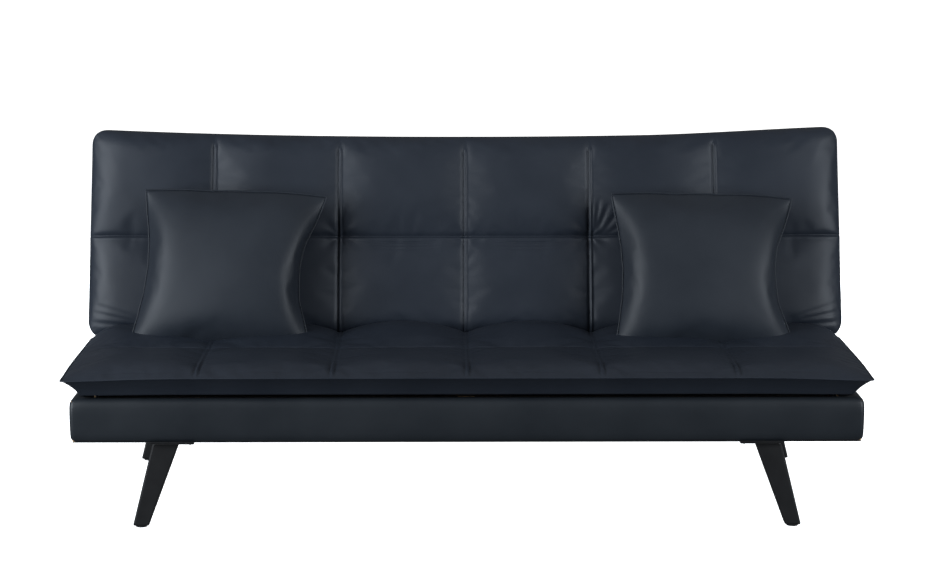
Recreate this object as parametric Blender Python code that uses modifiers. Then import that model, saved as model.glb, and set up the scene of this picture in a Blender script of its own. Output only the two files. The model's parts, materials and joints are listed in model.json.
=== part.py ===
"""Futon sofa bed with a click-clack fold, built as separate pieces.

Metres, +Z up. The width runs along X and the front of the sofa faces -Y. The floor is z = 0 and the
origin is under the middle of the sofa. The seat and the back ride above the base box on two pairs
of swing links: the links carry the seat forward while the back lies down behind it.
"""
import math

import bmesh
import bpy
from mathutils import Vector

# Overall sizes
HALF_WIDTH = 0.900            # half the width of the seat and back pads
FRONT_Y = -0.3445             # the seat's front seam
SEAM_Z = 0.352                # height of the seat's front seam
SEAT_TILT = math.radians(2)   # the seat falls towards the back
BACK_ANGLE = math.radians(79)  # how far the back is raised from the plane of the seat
GAP = 0.0003                  # between pieces that touch

# Seat and back units, measured from the seam plane that they share when flat
HINGE_Y = 0.532               # front seam to the back's hinge, along the seat
BACK_LENGTH = 0.507           # hinge to the top edge of the back
END_GAP = 0.008               # each pad stops this far short of the hinge
PAD_TOP = 0.020
PAD_BOTTOM = -0.044
FRAME_TOP = -0.0208
FRAME_BOTTOM = -0.0428
TUBE_WIDTH = 0.030
RECESS_HALF = 0.8545          # hollow under each pad, which takes its frame
SEAT_FRAME_Y = (0.045, 0.500)             # the frame's front and rear, from the front seam
BACK_FRAME_V = (0.035, BACK_LENGTH - 0.050)   # the frame's lower and upper ends, from the hinge
FRAME_PLAY = 0.006            # between a frame and the hollow that it sits in
RECESS_LOW = -0.060           # cutters reach below the pad
DECK_LEVELS = (-0.036, -0.028)
DECK_INSET = GAP + TUBE_WIDTH
ARM_SLOT_X = (0.826, 0.848)   # room in each pad for the hinge arms
PAD_CORNER = 0.020
BACK_CORNER = 0.030
REAR_PANEL_HALF = 0.870
REAR_PANEL_V = (0.036, BACK_LENGTH - 0.045)
REAR_PANEL_THICKNESS = 0.003

# Loose pillows, in the back's frame
PILLOW_HALF = 0.205
PILLOW_HEIGHT = 0.345
PILLOW_LOW = 0.012            # above the hinge
PILLOW_SEAM = 0.086           # in front of the back's seam plane
PILLOW_PLACES = (("left", -0.570), ("right", 0.560))

# Base box
BASE_HALF = 0.885
BASE_FRONT = FRONT_Y + 0.034
BASE_DEPTH = 0.655
BASE_BOTTOM = 0.198
BASE_TOP = 0.297              # at the front; it falls with the seat
COVER = 0.0037
RAIL = 0.022
RAIL_BOTTOM = BASE_BOTTOM + 0.002
RAIL_DROP = 0.004             # rails stop this far below the cover's top edge
CENTRE_RAIL_HALF = 0.020
CENTRE_RAIL_HEIGHT = 0.040
BLOCK_SIZE = 0.070            # the triangular corner blocks
BLOCK_HEIGHT = 0.060

# Legs
LEG_TOP_WIDTH = 0.060
LEG_FOOT_WIDTH = 0.036
LEG_DEPTH = 0.034
LEG_SPLAY = 0.061             # how far the foot stands outside the top
FRONT_LEG_X = 0.672
REAR_LEG_X = 0.722
FRONT_LEG_Y = FRONT_Y + 0.056
REAR_LEG_Y = FRONT_Y + 0.658
GLIDE_HEIGHT = 0.004
GLIDE_RADIUS = 0.013

# Fold: a link is LINK_LENGTH long and swings from one side of upright to the other
LINK_LENGTH = 0.120
LINK_LEAN = math.radians(48.5)
LINK_RADIUS = 0.0125
LINK_SPACING = 0.180
PIN_RADIUS = 0.005
PIN_HOLE = 0.0053
LOWER_PIN_HEAD = 0.0025
UPPER_PIN_HEAD = 0.002
HINGE_PIN_HEAD = 0.003
BRACKET_MARGIN = (0.022, 0.018)   # the bracket beyond its pivots, along and up
CROSS_TUBE_RADIUS = 0.010
EYE_RADIUS = 0.012            # round the hinge pin on the arms
LOOSE_HOLE = 0.0075           # the rear link's upper pivot, where the linkage is left open
FRONT_PIVOT = Vector((0, FRONT_Y + 0.200, 0.225))

# Planes of the side mechanism, from the middle outwards
BACK_ARM_X = (0.8325, 0.8375)
SEAT_ARM_X = (0.8380, 0.8430)
LINK_X = (0.8460, 0.8510)
BRACKET_X = (0.8537, 0.8587)

FINISHES = {
    "faux_leather": ((0.024, 0.027, 0.034), 0.42, 0.0),
    "painted_leg": ((0.012, 0.012, 0.013), 0.55, 0.0),
    "timber": ((0.52, 0.36, 0.21), 0.70, 0.0),
    "plywood": ((0.60, 0.44, 0.27), 0.75, 0.0),
    "tube_steel": ((0.035, 0.035, 0.038), 0.45, 0.8),
    "zinc_steel": ((0.55, 0.56, 0.58), 0.35, 1.0),
    "black_cloth": ((0.010, 0.010, 0.011), 0.95, 0.0),
    "plastic": ((0.015, 0.015, 0.016), 0.50, 0.0),
}


def clear_scene():
    for obj in list(bpy.data.objects):
        bpy.data.objects.remove(obj, do_unlink=True)


def new_collection(name):
    collection = bpy.data.collections.new(name)
    bpy.context.scene.collection.children.link(collection)
    return collection


clear_scene()
SOFA = new_collection("futon_sofa_bed")
CUTTERS = new_collection("cutters")


def finish_of(name, finish):
    """A material of the piece's own."""
    colour, roughness, metallic = FINISHES[finish]
    material = bpy.data.materials.new(name + "_" + finish)
    material.use_nodes = True
    shader = material.node_tree.nodes["Principled BSDF"]
    shader.inputs["Base Color"].default_value = (*colour, 1.0)
    shader.inputs["Roughness"].default_value = roughness
    shader.inputs["Metallic"].default_value = metallic
    return material


def add_piece(name, data, finish, parent=None, location=(0, 0, 0), rotation=(0, 0, 0)):
    piece = bpy.data.objects.new(name, data)
    SOFA.objects.link(piece)
    piece.parent = parent
    piece.location = location
    piece.rotation_euler = rotation
    data.materials.append(finish_of(name, finish))
    return piece


def add_empty(name, parent=None, location=(0, 0, 0), tilt=0.0):
    empty = bpy.data.objects.new(name, None)
    SOFA.objects.link(empty)
    empty.parent = parent
    empty.location = location
    empty.rotation_euler = (tilt, 0, 0)
    return empty


def mesh_from(name, bm):
    bmesh.ops.recalc_face_normals(bm, faces=bm.faces)
    mesh = bpy.data.meshes.new(name)
    bm.to_mesh(mesh)
    bm.free()
    return mesh


def round_edges(piece, width, segments=1):
    bevel = piece.modifiers.new("rounded_edges", "BEVEL")
    bevel.width = width
    bevel.segments = segments
    bevel.limit_method = "ANGLE"
    bevel.angle_limit = math.radians(40)


def box_mesh(name, size):
    bm = bmesh.new()
    bmesh.ops.create_cube(bm, size=1.0)
    bmesh.ops.scale(bm, vec=size, verts=bm.verts)
    return mesh_from(name, bm)


def add_box(name, low, high, finish, parent=None, rounding=0.001):
    low, high = Vector(low), Vector(high)
    piece = add_piece(name, box_mesh(name, high - low), finish, parent, (low + high) / 2)
    if rounding:
        round_edges(piece, rounding)
    return piece


def lower_rear_top(piece, drop):
    """Slope the top of a box down towards the back."""
    for vertex in piece.data.vertices:
        if vertex.co.y > 0 and vertex.co.z > 0:
            vertex.co.z -= drop


def layered_block(name, plan, levels, corner, finish, parent):
    """A soft block: a rounded outline repeated at each level, with side, front and rear insets."""
    half, near, far = plan
    bm = bmesh.new()
    bmesh.ops.create_grid(bm, x_segments=1, y_segments=1, size=0.5)
    bmesh.ops.scale(bm, vec=(2 * half, far - near, 1), verts=bm.verts)
    bmesh.ops.translate(bm, vec=(0, (near + far) / 2, levels[0][0]), verts=bm.verts)
    bmesh.ops.bevel(bm, geom=bm.verts[:], offset=corner, offset_type="OFFSET", affect="VERTICES",
                    segments=4, profile=0.5, material=-1)
    outline = bm.edges[:]
    for lower, upper in zip(levels, levels[1:]):
        raised = bmesh.ops.extrude_edge_only(bm, edges=outline)["geom"]
        verts = [item for item in raised if isinstance(item, bmesh.types.BMVert)]
        outline = [item for item in raised if isinstance(item, bmesh.types.BMEdge)]
        bmesh.ops.translate(bm, vec=(0, 0, upper[0] - lower[0]), verts=verts)
    bmesh.ops.holes_fill(bm, edges=outline, sides=0)
    for vertex in bm.verts:
        _, side, front, rear = min(levels, key=lambda level: abs(level[0] - vertex.co.z))
        share = (vertex.co.y - near) / (far - near)
        vertex.co.x *= 1 - side / half
        vertex.co.y = (near + front) + share * ((far - rear) - (near + front))
    return add_piece(name, mesh_from(name, bm), finish, parent)


def cut_box(piece, low, high, parent):
    """Take a box out of a piece."""
    low, high = Vector(low), Vector(high)
    cutter = bpy.data.objects.new(piece.name + "_cutter", box_mesh("cutter", high - low))
    CUTTERS.objects.link(cutter)
    cutter.parent = parent
    cutter.location = (low + high) / 2
    cutter.hide_render = True
    cutter.display_type = "WIRE"
    cut = piece.modifiers.new("cut", "BOOLEAN")
    cut.operation = "DIFFERENCE"
    cut.solver = "EXACT"
    cut.object = cutter


def arc(centre, radius, start, end, steps):
    """Points on an arc from one angle to another, in degrees."""
    points = []
    for step in range(steps + 1):
        angle = math.radians(start + (end - start) * step / steps)
        points.append((centre[0] + radius * math.cos(angle), centre[1] + radius * math.sin(angle)))
    return points


def circle(centre, radius, steps=20):
    return arc(centre, radius, 0, 360, steps)[:-1]


def flat_curve(name, outlines, thickness):
    """A flat outline, with holes, of a given thickness."""
    curve = bpy.data.curves.new(name, "CURVE")
    curve.dimensions = "2D"
    curve.fill_mode = "BOTH"
    curve.extrude = thickness / 2
    for outline in outlines:
        spline = curve.splines.new("POLY")
        spline.points.add(len(outline) - 1)
        for point, (across, up) in zip(spline.points, outline):
            point.co = (across, up, 0, 1)
        spline.use_cyclic_u = True
    return curve


def side_plate(name, outlines, span, side, finish, parent):
    """A plate in the YZ plane between two distances from the middle, on one side of the sofa."""
    thickness = span[1] - span[0]
    curve = flat_curve(name, outlines, thickness)
    middle = side * (span[0] + span[1]) / 2
    return add_piece(name, curve, finish, parent, (middle, 0, 0), (math.pi / 2, 0, math.pi / 2))


def side_pin(name, profile, place, side, parent, steps=20):
    """A turned pin along X. The profile is (radius, distance from the middle), outermost first."""
    mesh = bpy.data.meshes.new(name)
    points = [(radius, 0, distance) for radius, distance in profile]
    edges = [(index, index + 1) for index in range(len(points) - 1)]
    mesh.from_pydata(points, edges, [])
    turned = (0, side * math.pi / 2, 0)
    pin = add_piece(name, mesh, "zinc_steel", parent, (0, place[0], place[1]), turned)
    screw = pin.modifiers.new("turned", "SCREW")
    screw.steps = screw.render_steps = steps
    screw.use_merge_vertices = True
    screw.merge_threshold = 0.00001
    return pin


def pin_profile(inner, outer, head_from=None, head_to=None, radius=PIN_RADIUS, head=0.008):
    """A plain shank, with a head on one end where the head's span is given."""
    if head_from is None:
        return [(0, outer), (radius, outer), (radius, inner), (0, inner)]
    if head_to > outer - 1e-6:
        return [(0, head_to), (head, head_to), (head, head_from), (radius, head_from),
                (radius, inner), (0, inner)]
    return [(0, outer), (radius, outer), (radius, head_to), (head, head_to),
            (head, head_from), (0, head_from)]


def add_cylinder(name, radius, length, location, rotation, finish, parent=None, segments=24):
    bm = bmesh.new()
    bmesh.ops.create_cone(bm, cap_ends=True, segments=segments, radius1=radius, radius2=radius, depth=length)
    return add_piece(name, mesh_from(name, bm), finish, parent, location, rotation)


def base_top_at(y):
    return BASE_TOP - (y - BASE_FRONT) * math.tan(SEAT_TILT)


SIDES = (("left", -1), ("right", 1))


# Base box --------------------------------------------------------------------------------------
def build_base_rails():
    inner_front = BASE_FRONT + COVER + GAP
    inner_rear = BASE_FRONT + BASE_DEPTH - COVER - GAP
    rail_half = BASE_HALF - COVER - GAP
    spans = (("front", inner_front, inner_front + RAIL), ("rear", inner_rear - RAIL, inner_rear))
    for end, near, far in spans:
        top = base_top_at(far) - RAIL_DROP
        add_box("base_" + end + "_rail", (-rail_half, near, RAIL_BOTTOM), (rail_half, far, top), "timber")
    near, far = inner_front + RAIL + GAP, inner_rear - RAIL - GAP
    for label, side in SIDES:
        outer, inner = side * rail_half, side * (rail_half - RAIL)
        rail = add_box("base_" + label + "_rail", (min(outer, inner), near, RAIL_BOTTOM),
                       (max(outer, inner), far, base_top_at(near) - RAIL_DROP), "timber")
        lower_rear_top(rail, (far - near) * math.tan(SEAT_TILT))
    add_box("base_centre_rail", (-CENTRE_RAIL_HALF, near, RAIL_BOTTOM),
            (CENTRE_RAIL_HALF, far, RAIL_BOTTOM + CENTRE_RAIL_HEIGHT), "timber")
    build_corner_blocks(rail_half - RAIL - GAP, near, far)
    sheet_half = rail_half - 0.0005
    add_box("dust_cover", (-sheet_half, inner_front, BASE_BOTTOM + GAP),
            (sheet_half, inner_rear, RAIL_BOTTOM - GAP), "black_cloth", rounding=0)


def build_corner_blocks(corner_x, near, far):
    for end, y, inward in (("front", near, 1), ("rear", far, -1)):
        for label, side in SIDES:
            outline = [(0, 0), (-side * BLOCK_SIZE, 0), (0, inward * BLOCK_SIZE)]
            curve = flat_curve("corner", [outline], BLOCK_HEIGHT)
            location = (side * corner_x, y, RAIL_BOTTOM + BLOCK_HEIGHT / 2)
            add_piece("corner_block_" + end + "_" + label, curve, "timber", None, location)


def build_base_covers():
    front_inside = BASE_FRONT + COVER
    rear_inside = BASE_FRONT + BASE_DEPTH - COVER
    spans = (("front", BASE_FRONT, front_inside), ("rear", rear_inside, rear_inside + COVER))
    for end, near, far in spans:
        high = (BASE_HALF, far, base_top_at(far))
        add_box("base_cover_" + end, (-BASE_HALF, near, BASE_BOTTOM), high, "faux_leather")
    near, far = front_inside + GAP, rear_inside - GAP
    for label, side in SIDES:
        outer, inner = side * BASE_HALF, side * (BASE_HALF - COVER)
        cover = add_box("base_cover_" + label, (min(outer, inner), near, BASE_BOTTOM),
                        (max(outer, inner), far, base_top_at(near)), "faux_leather")
        lower_rear_top(cover, (far - near) * math.tan(SEAT_TILT))


def build_legs():
    low, high = GLIDE_HEIGHT + GAP, BASE_BOTTOM - GAP
    for end, top_x, y in (("front", FRONT_LEG_X, FRONT_LEG_Y), ("rear", REAR_LEG_X, REAR_LEG_Y)):
        for label, side in SIDES:
            tag = end + "_" + label
            size = Vector((LEG_TOP_WIDTH, LEG_DEPTH, high - low))
            mesh = box_mesh("leg_" + tag, size)
            for vertex in mesh.vertices:
                if vertex.co.z < 0:
                    vertex.co.x *= LEG_FOOT_WIDTH / LEG_TOP_WIDTH
                    vertex.co.x += side * LEG_SPLAY
            middle = (side * top_x, y, (low + high) / 2)
            leg = add_piece("leg_" + tag, mesh, "painted_leg", None, middle)
            round_edges(leg, 0.004, 2)
            add_cylinder("glide_" + tag, GLIDE_RADIUS, GLIDE_HEIGHT,
                         (side * (top_x + LEG_SPLAY), y, GLIDE_HEIGHT / 2), (0, 0, 0), "plastic")


# Fold ------------------------------------------------------------------------------------------
def seat_to_world(along, up):
    """A point of the seat's seam plane frame at rest."""
    return Vector((0, FRONT_Y + along * math.cos(SEAT_TILT) + up * math.sin(SEAT_TILT),
                   SEAM_Z - along * math.sin(SEAT_TILT) + up * math.cos(SEAT_TILT)))


def world_to_seat(point):
    across, rise = point.y - FRONT_Y, point.z - SEAM_Z
    return (across * math.cos(SEAT_TILT) - rise * math.sin(SEAT_TILT),
            across * math.sin(SEAT_TILT) + rise * math.cos(SEAT_TILT))


def link_end(pivot, lean):
    return pivot + LINK_LENGTH * Vector((0, math.sin(lean), math.cos(lean)))


FRONT_UPPER = link_end(FRONT_PIVOT, LINK_LEAN)
FRONT_ON_SEAT = world_to_seat(FRONT_UPPER)
REAR_ON_SEAT = (FRONT_ON_SEAT[0] + LINK_SPACING, FRONT_ON_SEAT[1])
REAR_UPPER = seat_to_world(*REAR_ON_SEAT)


def rear_pivot():
    """The rear link's base pivot, the same distance from its upper pivot in both end positions."""
    flat = link_end(FRONT_PIVOT, -LINK_LEAN) + Vector((0, LINK_SPACING, 0))
    travel = flat - REAR_UPPER
    across = Vector((0, travel.z, -travel.y)).normalized()
    height = math.sqrt(LINK_LENGTH ** 2 - (travel.length / 2) ** 2)
    return (flat + REAR_UPPER) / 2 - across * height


REAR_PIVOT = rear_pivot()


def link_outline(end_y, end_z):
    """A round-ended bar from (0, 0) to its far pivot."""
    heading = math.degrees(math.atan2(end_z, end_y))
    return (arc((end_y, end_z), LINK_RADIUS, heading - 90, heading + 90, 10)
            + arc((0, 0), LINK_RADIUS, heading + 90, heading + 270, 10))


def build_fold_base():
    along, up = BRACKET_MARGIN
    low, high = FRONT_PIVOT.z - up, FRONT_PIVOT.z + up
    for label, side in SIDES:
        inner, outer = side * BRACKET_X[0], side * BRACKET_X[1]
        add_box("base_bracket_" + label, (min(inner, outer), FRONT_PIVOT.y - along, low),
                (max(inner, outer), REAR_PIVOT.y + along, high), "zinc_steel")
        head = LINK_X[0] - LOWER_PIN_HEAD
        profile = pin_profile(head, BRACKET_X[0] - GAP, head, LINK_X[0] - GAP)
        for end, pivot in (("front", FRONT_PIVOT), ("rear", REAR_PIVOT)):
            side_pin(end + "_link_lower_pin_" + label, profile, (pivot.y, pivot.z), side, None)


def build_front_links():
    pivot = add_empty("front_link_pivot", None, FRONT_PIVOT)
    reach = FRONT_UPPER - FRONT_PIVOT
    for label, side in SIDES:
        holes = [circle((0, 0), PIN_HOLE), circle((reach.y, reach.z), PIN_HOLE)]
        outlines = [link_outline(reach.y, reach.z)] + holes
        side_plate("front_link_" + label, outlines, LINK_X, side, "zinc_steel", pivot)
    add_cylinder("link_cross_tube", CROSS_TUBE_RADIUS, 2 * (LINK_X[0] - GAP), reach / 2,
                 (0, math.pi / 2, 0), "tube_steel", pivot)
    return pivot


def build_rear_links():
    pivot = add_empty("rear_link_pivot", None, REAR_PIVOT)
    reach = REAR_UPPER - REAR_PIVOT
    profile = pin_profile(SEAT_ARM_X[0] + GAP, LINK_X[0] - GAP)
    for label, side in SIDES:
        outlines = [link_outline(reach.y, reach.z), circle((0, 0), PIN_HOLE)]
        side_plate("rear_link_" + label, outlines, LINK_X, side, "zinc_steel", pivot)
        side_pin("rear_link_upper_pin_" + label, profile, (reach.y, reach.z), side, pivot)


# Seat ------------------------------------------------------------------------------------------
def seat_arm_outlines():
    lower, upper = FRAME_BOTTOM - 0.011, FRAME_TOP
    front = FRONT_ON_SEAT[0] - 0.030
    hinge = (HINGE_Y, 0)
    neck = HINGE_Y - 0.030
    outline = ([(front, lower), (neck, lower)] + arc(hinge, EYE_RADIUS, -60, 150, 12)
               + [(neck - 0.002, upper), (front, upper)])
    return [outline, circle(REAR_ON_SEAT, LOOSE_HOLE)]


def build_seat(pivot):
    seat_pivot = add_empty("seat_pivot", pivot, FRONT_UPPER - FRONT_PIVOT, -SEAT_TILT)
    plane = add_empty("seat_plane", seat_pivot, (0, -FRONT_ON_SEAT[0], -FRONT_ON_SEAT[1]))
    near, far = SEAT_FRAME_Y
    outer = SEAT_ARM_X[0] - GAP
    inner = outer - TUBE_WIDTH
    for label, side in SIDES:
        a, b = side * inner, side * outer
        add_box("seat_" + label + "_tube", (min(a, b), near, FRAME_BOTTOM), (max(a, b), far, FRAME_TOP),
                "tube_steel", plane, 0.002)
        side_plate("seat_arm_" + label, seat_arm_outlines(), SEAT_ARM_X, side, "zinc_steel", plane)
        head = LINK_X[1] + UPPER_PIN_HEAD
        profile = pin_profile(SEAT_ARM_X[1] + GAP, head, LINK_X[1] + GAP, head)
        side_pin("front_link_upper_pin_" + label, profile, FRONT_ON_SEAT, side, plane)
        hinge_head = BACK_ARM_X[0] - HINGE_PIN_HEAD
        hinge_profile = pin_profile(hinge_head, SEAT_ARM_X[0] - GAP, hinge_head, BACK_ARM_X[0] - GAP)
        side_pin("back_hinge_pin_" + label, hinge_profile, (HINGE_Y, 0), side, plane)
    cross = inner - GAP
    for label, low, high in (("front", near, near + TUBE_WIDTH), ("rear", far - TUBE_WIDTH, far)):
        add_box("seat_" + label + "_tube", (-cross, low, FRAME_BOTTOM), (cross, high, FRAME_TOP),
                "tube_steel", plane, 0.002)
    add_deck("seat_deck", cross, near, far, plane)
    levels = ((PAD_BOTTOM, 0.034, 0.034, 0.014), (-0.020, 0.020, 0.020, 0.003), (0.0, 0.0, 0.0, 0.0),
              (0.012, 0.005, 0.005, 0.005), (PAD_TOP, 0.016, 0.016, 0.018))
    footprint = (HALF_WIDTH, 0.0, HINGE_Y - END_GAP)
    pad = layered_block("seat_pad", footprint, levels, PAD_CORNER, "faux_leather", plane)
    cut_recess(pad, near - FRAME_PLAY, far + FRAME_PLAY, plane)
    cut_arm_slots(pad, far - FRAME_PLAY, HINGE_Y, plane)
    return plane


def add_deck(name, half, near, far, parent):
    """A plywood panel between the tubes of a frame."""
    low, high = DECK_LEVELS
    add_box(name, (-half, near + DECK_INSET, low), (half, far - DECK_INSET, high), "plywood", parent)


def cut_recess(pad, near, far, parent):
    """The hollow in a pad's underside for its frame."""
    cut_box(pad, (-RECESS_HALF, near, RECESS_LOW), (RECESS_HALF, far, FRAME_TOP + GAP), parent)


def cut_arm_slots(pad, near, far, parent):
    for _, side in SIDES:
        a, b = side * ARM_SLOT_X[0], side * ARM_SLOT_X[1]
        cut_box(pad, (min(a, b), near, RECESS_LOW), (max(a, b), far, PAD_TOP + 0.010), parent)


# Back ------------------------------------------------------------------------------------------
def back_arm_outlines():
    reach = 0.220
    outline = ([(reach, FRAME_BOTTOM), (reach, FRAME_TOP), (0.036, FRAME_TOP)]
               + arc((0, 0), EYE_RADIUS, 40, 250, 12) + [(0.030, FRAME_BOTTOM)])
    return [outline, circle((0, 0), PIN_HOLE)]


def build_back(seat_plane):
    hinge = add_empty("back_hinge", seat_plane, (0, HINGE_Y, 0), BACK_ANGLE)
    near, far = BACK_FRAME_V
    outer = BACK_ARM_X[0] - GAP
    inner = outer - TUBE_WIDTH
    for label, side in SIDES:
        a, b = side * inner, side * outer
        add_box("back_" + label + "_tube", (min(a, b), near, FRAME_BOTTOM), (max(a, b), far, FRAME_TOP),
                "tube_steel", hinge, 0.002)
        side_plate("back_arm_" + label, back_arm_outlines(), BACK_ARM_X, side, "zinc_steel", hinge)
    cross = inner - GAP
    for label, low, high in (("lower", near, near + TUBE_WIDTH), ("upper", far - TUBE_WIDTH, far)):
        add_box("back_" + label + "_tube", (-cross, low, FRAME_BOTTOM), (cross, high, FRAME_TOP),
                "tube_steel", hinge, 0.002)
    add_deck("back_deck", cross, near, far, hinge)
    levels = ((PAD_BOTTOM, 0.014, 0.014, 0.014), (-0.034, 0.004, 0.004, 0.004), (0.0, 0.0, 0.0, 0.0),
              (0.012, 0.005, 0.005, 0.005), (PAD_TOP, 0.018, 0.018, 0.018))
    footprint = (HALF_WIDTH, END_GAP, BACK_LENGTH)
    pad = layered_block("back_pad", footprint, levels, BACK_CORNER, "faux_leather", hinge)
    cut_recess(pad, near - FRAME_PLAY - 0.001, far + FRAME_PLAY, hinge)
    cut_arm_slots(pad, -0.010, near + 0.001, hinge)
    panel_top = PAD_BOTTOM - 0.0005
    add_box("back_rear_panel", (-REAR_PANEL_HALF, REAR_PANEL_V[0], panel_top - REAR_PANEL_THICKNESS),
            (REAR_PANEL_HALF, REAR_PANEL_V[1], panel_top), "black_cloth", hinge, 0)
    return hinge


# Pillows ---------------------------------------------------------------------------------------
def build_pillows(hinge):
    """Each layer is (height, inset at the sides, inset below, inset above) round the seam."""
    seam = PILLOW_SEAM
    levels = ((seam - 0.063, 0.085, 0.080, 0.080), (seam - 0.050, 0.040, 0.038, 0.038),
              (seam - 0.020, 0.010, 0.010, 0.010), (seam, 0.0, 0.0, 0.0),
              (seam + 0.020, 0.010, 0.010, 0.010), (seam + 0.045, 0.040, 0.038, 0.038),
              (seam + 0.060, 0.085, 0.080, 0.080))
    footprint = (PILLOW_HALF, PILLOW_LOW, PILLOW_LOW + PILLOW_HEIGHT)
    for label, middle in PILLOW_PLACES:
        centre = add_empty(label + "_pillow_place", hinge, (middle, 0, 0))
        layered_block(label + "_pillow", footprint, levels, PAD_CORNER, "faux_leather", centre)


build_base_rails()
build_base_covers()
build_legs()
build_fold_base()
FRONT_LINK_PIVOT = build_front_links()
build_rear_links()
SEAT_PLANE = build_seat(FRONT_LINK_PIVOT)
BACK_HINGE = build_back(SEAT_PLANE)
build_pillows(BACK_HINGE)
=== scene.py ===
"""Looks of the futon sofa bed: tufted faux leather pads, loose pillows, wrapped base and splayed legs."""

import json
import math

import bmesh
import bpy
import numpy as np
from mathutils import Matrix, Vector, noise


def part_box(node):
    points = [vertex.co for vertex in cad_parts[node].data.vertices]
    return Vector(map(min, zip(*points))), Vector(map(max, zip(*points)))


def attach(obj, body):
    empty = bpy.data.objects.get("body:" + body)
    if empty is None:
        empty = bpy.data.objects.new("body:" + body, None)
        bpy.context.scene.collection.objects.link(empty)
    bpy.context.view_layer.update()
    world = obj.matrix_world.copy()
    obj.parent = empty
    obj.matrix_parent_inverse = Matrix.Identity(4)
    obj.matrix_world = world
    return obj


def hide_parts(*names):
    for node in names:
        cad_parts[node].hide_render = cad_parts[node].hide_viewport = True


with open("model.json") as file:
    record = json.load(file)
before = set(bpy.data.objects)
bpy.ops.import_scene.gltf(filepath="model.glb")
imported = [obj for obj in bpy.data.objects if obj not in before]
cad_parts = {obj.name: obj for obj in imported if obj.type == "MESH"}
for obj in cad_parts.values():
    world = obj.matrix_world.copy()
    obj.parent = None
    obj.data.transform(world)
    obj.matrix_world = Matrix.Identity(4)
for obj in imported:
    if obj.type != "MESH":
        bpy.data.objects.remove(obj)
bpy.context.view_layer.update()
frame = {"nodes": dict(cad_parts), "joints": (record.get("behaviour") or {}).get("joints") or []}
JOINTS = {joint["name"]: joint for joint in frame["joints"]}

# The seat and back share one seam plane when flat. Their own frames have x across the sofa, y away
# from the front seam (seat) or away from the hinge (back), and z out of the pad's face.
HINGE = Vector(JOINTS["back_recline"]["pos_m"])
SEAT_TILT = math.radians(2)
BACK_ANGLE = math.radians(79)
SEAT_RUN = 0.532              # front seam to hinge
PAD_GAP = 0.008               # the pads stop this far from the hinge
SEAT_PLACE = (Matrix.Translation(HINGE) @ Matrix.Rotation(-SEAT_TILT, 4, "X")
              @ Matrix.Translation((0, -SEAT_RUN, 0)))
BACK_PLACE = Matrix.Translation(HINGE) @ Matrix.Rotation(BACK_ANGLE - SEAT_TILT, 4, "X")
HALF_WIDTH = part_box("seat_pad")[1].x
BACK_RUN = 0.507              # hinge to the back's top corners
COLUMN = HALF_WIDTH / 3       # six sewn columns
CHANNELS = [COLUMN * n for n in (-2, -1, 0, 1, 2)]
SEAT_CROSS = 0.315            # the seat's cross seam, from the front seam
BACK_CROSS = 0.246            # the back's cross seam, from the hinge


# Mesh helpers ----------------------------------------------------------------------------------
def add_piece(name, mesh, body, material, smooth=True):
    """A finished piece at the origin, riding on its body."""
    piece = bpy.data.objects.new(name, mesh)
    bpy.context.scene.collection.objects.link(piece)
    mesh.materials.clear()
    mesh.materials.append(material)
    if smooth:
        mesh.shade_smooth()
    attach(piece, body)
    return piece


def mesh_of(name, bm):
    """The finished bmesh as a named mesh."""
    mesh = bpy.data.meshes.new(name)
    bm.to_mesh(mesh)
    bm.free()
    return mesh


def points_of(mesh):
    """One row of x, y and z for each point."""
    points = np.empty(len(mesh.vertices) * 3)
    mesh.vertices.foreach_get("co", points)
    return points.reshape(-1, 3)


def graded(low, high, coarse, fine, focus, reach):
    """Grid lines from low to high, fine near each focus and coarse between."""
    lines = [low]
    while lines[-1] < high:
        near = min(abs(lines[-1] - place) for place in focus)
        lines.append(lines[-1] + coarse - (coarse - fine) * math.exp(-(near / reach) ** 2))
    lines = np.array(lines)
    return low + (lines - low) * (high - low) / (lines[-1] - low)


def smoothed(t):
    """0 to 1, easing in and out."""
    t = np.clip(t, 0.0, 1.0)
    return t * t * (3 - 2 * t)


def rise(distance, reach, power=2.2):
    """0 on a seam, levelling off to 1 at reach."""
    return 1 - (1 - np.clip(np.abs(distance) / reach, 0, 1)) ** power


def roll(distance, radius):
    """A quarter-round edge: 0 at the border, 1 from radius inwards."""
    return np.sqrt(np.clip(1 - (1 - np.clip(distance / radius, 0, 1)) ** 2, 0, 1))


def ridge(distance, width):
    """A soft bump, 1 where distance is 0."""
    return np.exp(-(distance / width) ** 2)


def crease(x, y, start, end, width, depth):
    """A valley along a line, fading out towards both ends."""
    along = np.array(end) - np.array(start)
    length = math.hypot(*along)
    along = along / length
    run = (x - start[0]) * along[0] + (y - start[1]) * along[1]
    off = (y - start[1]) * along[0] - (x - start[0]) * along[1]
    share = np.clip(run / length, 0, 1)
    fade = np.sin(math.pi * share) ** 0.7
    return -depth * ridge(off, width) * fade


def wander(x, y, scale, seed):
    """Slow uneven swelling of a filled cover, about -1 to 1."""
    return np.array([noise.noise(Vector((a / scale, b / scale, seed))) for a, b in zip(x, y)])


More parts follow.
